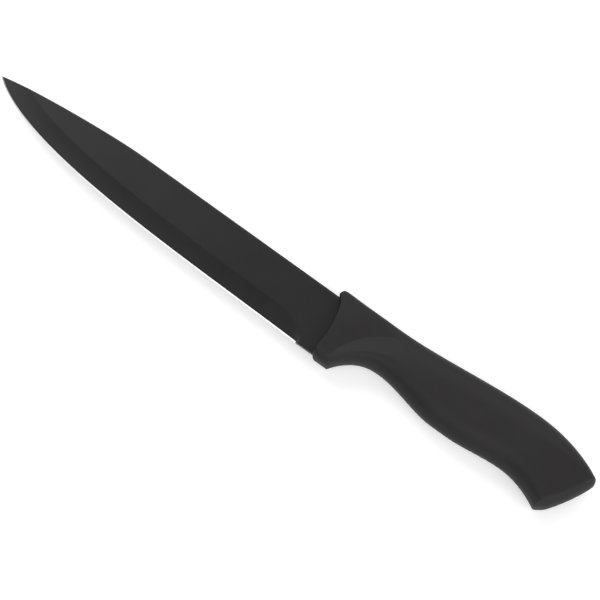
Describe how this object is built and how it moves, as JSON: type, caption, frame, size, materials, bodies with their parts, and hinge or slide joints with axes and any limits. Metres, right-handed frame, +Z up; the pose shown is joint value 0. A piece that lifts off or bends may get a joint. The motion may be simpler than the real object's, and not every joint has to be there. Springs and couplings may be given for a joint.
{
  "type": "meat knife",
  "caption": "Kitchen slicing knife with a hollow-ground, coated drop-point blade, a hidden tang and a contoured soft-touch handle with a finger guard and a hooked butt.",
  "frame": {"origin": "middle of the bounding box's bottom; the knife lies on the flat of its right cheek", "axes": "+X from the tip towards the butt, +Y towards the spine, +Z up out of the left cheek"},
  "size_m": [0.3108, 0.0358, 0.0186],
  "materials": {
    "coated_steel": "matt black non-stick coat, bare along the honed edge",
    "hard_core": "as moulded",
    "soft_skin": "soft-touch matt"
  },
  "bodies": {
    "root": {"blade": "coated_steel", "handle_core": "hard_core", "grip_skin": "soft_skin"}
  },
  "joints": []
}
